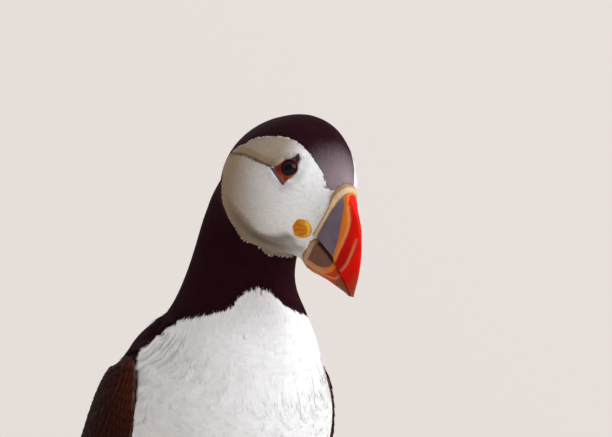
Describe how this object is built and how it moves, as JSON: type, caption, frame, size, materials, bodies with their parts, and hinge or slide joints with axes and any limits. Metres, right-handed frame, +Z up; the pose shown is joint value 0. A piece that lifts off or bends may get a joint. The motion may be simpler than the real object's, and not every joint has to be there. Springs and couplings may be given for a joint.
{
  "type": "atlantic puffin",
  "caption": "Life-size standing puffin: upright body with folded wings, short tail and webbed feet, head turned a little and bowed, tall wedge-shaped bill.",
  "frame": {"origin": "on the floor, at the middle of the bird's bounding box seen from above", "axes": "+Z is up, the body faces -Y, and +X is towards the bird's left side"},
  "size_m": [0.0904, 0.1786, 0.2049],
  "materials": {
    "white_feathers": "soft short white feathers",
    "black_feathers": "soft brown-black feathers",
    "wing_feathers": "firm brown-black feathers",
    "face_feathers": "short silky grey-white feathers",
    "bill": "grooved horn, satin red with a blue-grey base",
    "lower_bill": "satin grey-brown horn, red towards the tip",
    "cere": "pitted cream skin",
    "rosette": "wrinkled yellow skin",
    "eye": "wet, near black",
    "eye_frame": "red skin ring with slate-grey horn plates",
    "leg_skin": "scaly orange skin",
    "claw": "dark horn"
  },
  "bodies": {
    "root": {"trunk": "white_feathers", "thigh_left": "white_feathers", "thigh_right": "white_feathers", "neck": "black_feathers", "tail": "black_feathers", "wing_left": "wing_feathers", "wing_right": "wing_feathers", "head": "face_feathers", "bill_upper": "bill", "bill_lower": "lower_bill", "cere": "cere", "mandible_rim": "cere", "rosette_left": "rosette", "rosette_right": "rosette", "eye_left": "eye", "eye_right": "eye", "eye_frame_left": "eye_frame", "eye_frame_right": "eye_frame", "tarsus_left": "leg_skin", "tarsus_right": "leg_skin", "foot_left": "leg_skin", "foot_right": "leg_skin", "claw_inner_left": "claw", "claw_middle_left": "claw", "claw_outer_left": "claw", "claw_inner_right": "claw", "claw_middle_right": "claw", "claw_outer_right": "claw"}
  },
  "joints": []
}
